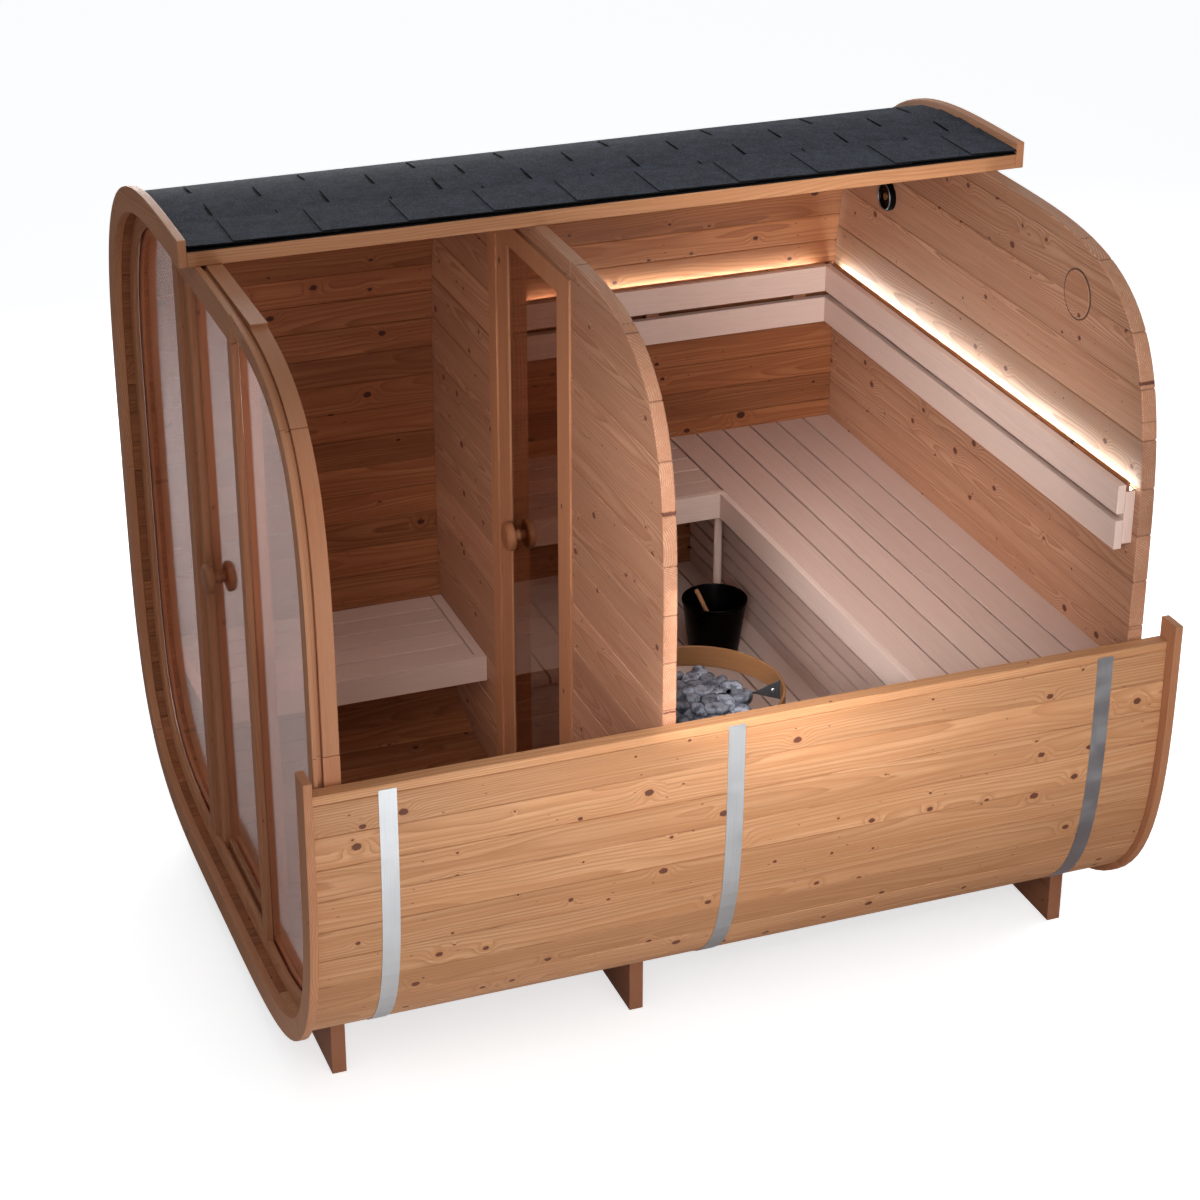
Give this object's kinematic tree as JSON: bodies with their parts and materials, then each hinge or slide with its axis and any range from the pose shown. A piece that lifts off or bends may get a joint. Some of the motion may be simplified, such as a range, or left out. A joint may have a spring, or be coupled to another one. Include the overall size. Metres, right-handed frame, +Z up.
{
  "type": "cutaway cube sauna",
  "caption": "Rounded square barrel sauna built of pine boards, cut open along one upper side, with a changing room, glass doors, benches and a stone heater.",
  "frame": {"origin": "middle of the footprint on the ground", "axes": "+X towards the side that is cut open, -Y towards the glazed front, +Z up"},
  "size_m": [2.2, 2.586, 2.25],
  "materials": {
    "shell_pine": "matte",
    "frame_pine": "matte",
    "inner_pine": "matte",
    "bench_wood": "matte",
    "knob_wood": "satin",
    "shingle": "matte",
    "steel": "satin",
    "tinted_glass": "gloss",
    "lamp_black": "satin",
    "light": "matte",
    "heater_black": "satin",
    "stones": "matte"
  },
  "bodies": {
    "cabin": {"cradles": "frame_pine", "floor_boards": "shell_pine", "far_lower_boards": "shell_pine", "far_wall_boards": "shell_pine", "far_eave_boards": "shell_pine", "roof_boards": "shell_pine", "near_lower_boards": "shell_pine", "near_wall_boards": "shell_pine", "roof_shingles": "shingle", "steel_bands": "steel", "front_ring": "frame_pine", "rear_ring": "frame_pine", "front_rim": "frame_pine", "front_trim": "frame_pine", "door_header": "frame_pine", "door_post_left": "frame_pine", "door_jamb": "frame_pine", "door_post_right": "frame_pine", "left_pane": "tinted_glass", "right_pane": "tinted_glass", "partition_left": "inner_pine", "partition_right": "inner_pine", "partition_head": "inner_pine", "partition_frame": "frame_pine", "changing_bench": "bench_wood", "changing_fascia": "bench_wood", "bench_bearers": "bench_wood", "rear_wall": "inner_pine", "upper_bench_rear": "bench_wood", "upper_bench_side": "bench_wood", "upper_fascia": "bench_wood", "bench_skirt": "bench_wood", "bench_leg": "bench_wood", "lower_bench_rear": "bench_wood", "lower_bench_side": "bench_wood", "lower_bench_fronts": "bench_wood", "backrest_far": "bench_wood", "backrest_rear": "bench_wood", "light_strips": "light", "vent_disc": "knob_wood", "wall_lamp": "lamp_black", "heater": "heater_black", "heater_stones": "stones", "guard_hoop": "bench_wood", "guard_brackets": "heater_black", "bucket": "heater_black", "ladle": "bench_wood"},
    "front_leaf": {"front_door": "tinted_glass", "front_knobs": "knob_wood"},
    "inner_leaf": {"partition_door": "tinted_glass", "partition_knobs": "knob_wood"}
  },
  "joints": [
    {"name": "front_door_hinge", "type": "hinge", "parent": "cabin", "child": "front_leaf", "pos_m": [0.317, -1.206, 1.167], "axis": [0, 0, 1], "range_deg": [0, 90]},
    {"name": "inner_door_hinge", "type": "hinge", "parent": "cabin", "child": "inner_leaf", "pos_m": [0.185, -0.261, 1.124], "axis": [0, 0, 1], "range_deg": [0, 90]}
  ]
}
